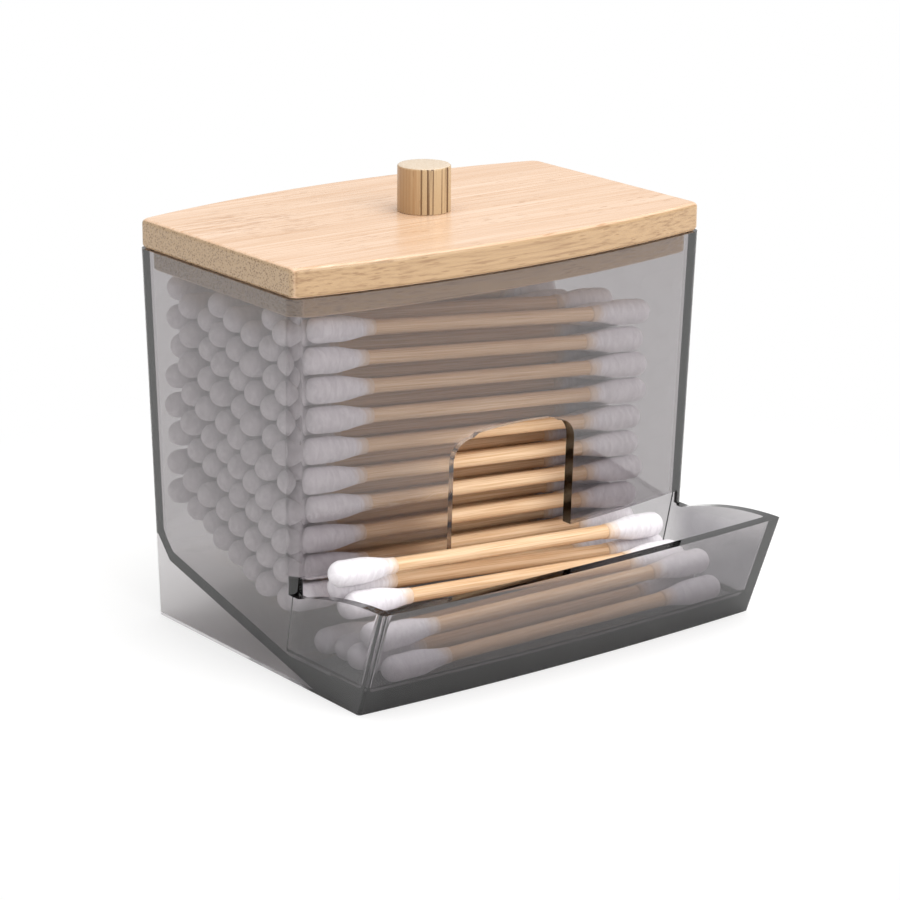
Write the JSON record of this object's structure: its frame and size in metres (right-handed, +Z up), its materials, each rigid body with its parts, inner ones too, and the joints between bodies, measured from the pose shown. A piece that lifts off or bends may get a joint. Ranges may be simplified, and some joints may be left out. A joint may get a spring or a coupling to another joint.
{
  "type": "cotton swab dispenser",
  "caption": "Smoke-grey clear plastic dispenser with a front tray, finger notch and sloping floor, a bamboo lid with a round knob, and a stack of bamboo cotton swabs",
  "frame": {"origin": "centre of the bounding box in X and Y, on the table in Z", "axes": "+X to the right along the front, +Y from the front to the back, +Z up"},
  "size_m": [0.09, 0.0794, 0.0817],
  "materials": {
    "smoked_plastic": "clear moulded polystyrene with a smoke-grey tint, polished",
    "bamboo_board": "sanded bamboo, matt lacquer",
    "bamboo_knob": "turned laminated bamboo",
    "screw_steel": "zinc-plated steel",
    "bamboo_stick": "fine bare bamboo",
    "cotton": "wound white cotton"
  },
  "bodies": {
    "container": {"container": "smoked_plastic", "front_swab_01_sticks": "bamboo_stick", "front_swab_02_sticks": "bamboo_stick", "front_swab_03_sticks": "bamboo_stick", "front_swab_04_sticks": "bamboo_stick", "front_swab_05_sticks": "bamboo_stick", "front_swab_06_sticks": "bamboo_stick", "front_swab_07_sticks": "bamboo_stick", "front_swab_08_sticks": "bamboo_stick", "front_swab_09_sticks": "bamboo_stick", "front_swab_10_sticks": "bamboo_stick", "tray_swab_1_sticks": "bamboo_stick", "tray_swab_2_sticks": "bamboo_stick", "tray_swab_3_sticks": "bamboo_stick", "tray_swab_4_sticks": "bamboo_stick", "tray_swab_5_sticks": "bamboo_stick", "tray_swab_6_sticks": "bamboo_stick", "tray_swab_7_sticks": "bamboo_stick", "tray_swab_8_sticks": "bamboo_stick", "stack_1_sticks": "bamboo_stick", "stack_2_sticks": "bamboo_stick", "stack_3_sticks": "bamboo_stick", "stack_4_sticks": "bamboo_stick", "stack_5_sticks": "bamboo_stick", "stack_6_sticks": "bamboo_stick", "stack_7_sticks": "bamboo_stick", "stack_8_sticks": "bamboo_stick", "front_swab_01_buds": "cotton", "front_swab_02_buds": "cotton", "front_swab_03_buds": "cotton", "front_swab_04_buds": "cotton", "front_swab_05_buds": "cotton", "front_swab_06_buds": "cotton", "front_swab_07_buds": "cotton", "front_swab_08_buds": "cotton", "front_swab_09_buds": "cotton", "front_swab_10_buds": "cotton", "tray_swab_1_buds": "cotton", "tray_swab_2_buds": "cotton", "tray_swab_3_buds": "cotton", "tray_swab_4_buds": "cotton", "tray_swab_5_buds": "cotton", "tray_swab_6_buds": "cotton", "tray_swab_7_buds": "cotton", "tray_swab_8_buds": "cotton", "stack_1_buds": "cotton", "stack_2_buds": "cotton", "stack_3_buds": "cotton", "stack_4_buds": "cotton", "stack_5_buds": "cotton", "stack_6_buds": "cotton", "stack_7_buds": "cotton", "stack_8_buds": "cotton"},
    "lid": {"lid": "bamboo_board", "knob": "bamboo_knob", "knob_screw": "screw_steel"}
  },
  "joints": [
    {"name": "lid_lift", "type": "slide", "parent": "container", "child": "lid", "axis": [0, 0, 1], "range_m": [0, 0.05]}
  ]
}
